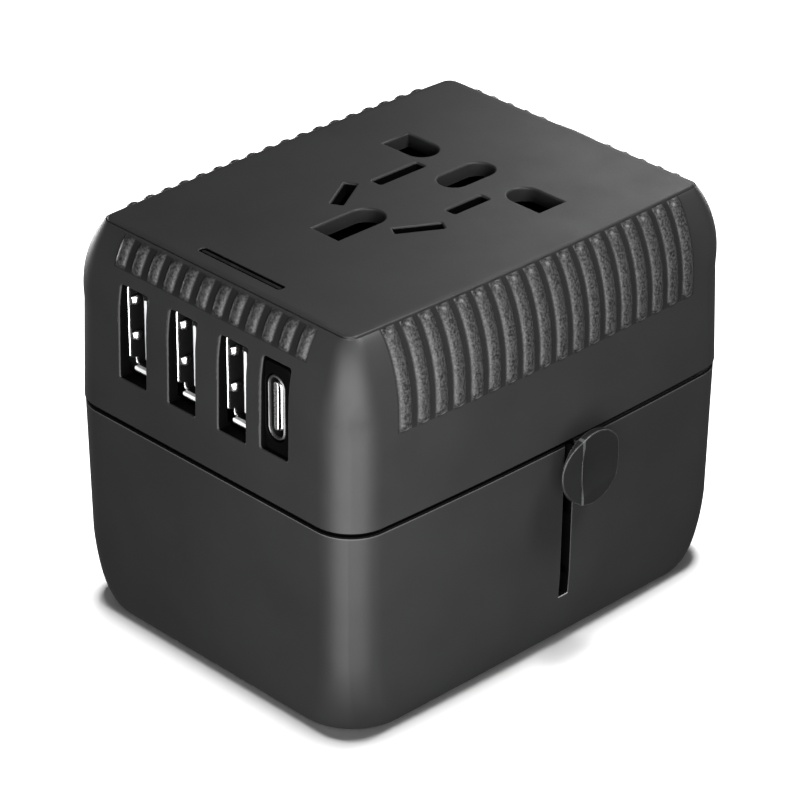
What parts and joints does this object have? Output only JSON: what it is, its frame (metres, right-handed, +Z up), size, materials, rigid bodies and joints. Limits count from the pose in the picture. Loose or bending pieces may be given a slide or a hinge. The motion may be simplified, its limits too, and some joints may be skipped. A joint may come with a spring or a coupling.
{
  "type": "universal travel adapter",
  "caption": "Pocket block with a universal socket on top, USB ports on one face, and sliders that push plug pins out of the bottom.",
  "frame": {"origin": "centre of the underside of the casing", "axes": "+Z up through the socket face, USB ports on the -Y face, blade slider on the +X face"},
  "size_m": [0.0636, 0.0744, 0.0563],
  "materials": {
    "casing": "satin, finely textured dark grey; ribs spark-eroded",
    "knob": "satin dark grey",
    "inner_plastic": "matt black",
    "brass": "plain",
    "shutter": "matt grey",
    "spring_steel": "plain",
    "port_metal": "bright nickel",
    "window": "smoked translucent",
    "led": "epoxy",
    "board": "solder mask",
    "ferrite": "sintered",
    "copper": "enamelled wire",
    "capacitor_sleeve": "shrunk sleeve",
    "fuse_body": "glazed ceramic",
    "pin_metal": "nickel plated"
  },
  "bodies": {
    "casing": {"upper_shell": "casing", "lower_shell": "casing", "mid_frame": "inner_plastic", "socket_tray": "inner_plastic", "usb_c_bezel": "inner_plastic", "usb_c_tongue": "inner_plastic", "usb_a_tongue_1": "inner_plastic", "usb_a_tongue_2": "inner_plastic", "usb_a_tongue_3": "inner_plastic", "line_contact": "brass", "neutral_contact": "brass", "earth_contact": "brass", "line_busbar": "brass", "neutral_busbar": "brass", "shutter_spring": "spring_steel", "screw_1": "spring_steel", "screw_2": "spring_steel", "screw_3": "spring_steel", "screw_4": "spring_steel", "usb_a_shell_1": "port_metal", "usb_a_shell_2": "port_metal", "usb_a_shell_3": "port_metal", "usb_c_shell": "port_metal", "light_pipe": "window", "status_led": "led", "usb_board": "board", "power_board": "board", "transformer_core": "ferrite", "transformer_coil": "copper", "choke": "copper", "bulk_capacitor_1": "capacitor_sleeve", "bulk_capacitor_2": "capacitor_sleeve", "output_capacitor": "capacitor_sleeve", "fuse": "fuse_body", "fuse_clip_1": "pin_metal", "fuse_clip_2": "pin_metal"},
    "us_set": {"us_carriage": "inner_plastic", "us_knob": "knob"},
    "line_blade": {"us_blade_line": "pin_metal"},
    "neutral_blade": {"us_blade_neutral": "pin_metal"},
    "uk_set": {"uk_carriage": "inner_plastic", "uk_knob": "knob", "uk_pin_line": "pin_metal", "uk_pin_neutral": "pin_metal", "uk_pin_earth": "pin_metal"},
    "eu_set": {"eu_carriage": "inner_plastic", "eu_knob": "knob", "eu_pin_line": "pin_metal", "eu_pin_neutral": "pin_metal"},
    "shutter_plate": {"shutter": "shutter"}
  },
  "joints": [
    {"name": "us_slide", "type": "slide", "parent": "casing", "child": "us_set", "axis": [0, 0, -1], "range_m": [0, 0.0195]},
    {"name": "us_twist_line", "type": "hinge", "parent": "us_set", "child": "line_blade", "pos_m": [0.0066, 0.0032, 0.02], "axis": [0, 0, 1], "range_deg": [0, 30]},
    {"name": "us_twist_neutral", "type": "hinge", "parent": "us_set", "child": "neutral_blade", "pos_m": [-0.0066, 0.0032, 0.02], "axis": [0, 0, 1], "range_deg": [-30, 0]},
    {"name": "uk_slide", "type": "slide", "parent": "casing", "child": "uk_set", "axis": [0, 0, -1], "range_m": [0, 0.0195]},
    {"name": "eu_slide", "type": "slide", "parent": "casing", "child": "eu_set", "axis": [0, 0, -1], "range_m": [0, 0.0195]},
    {"name": "shutter_slide", "type": "slide", "parent": "casing", "child": "shutter_plate", "axis": [0, 1, 0], "range_m": [0, 0.0054], "stiffness_N_per_m": 55, "springref_m": -0.003, "deforming": ["shutter_spring"]}
  ]
}
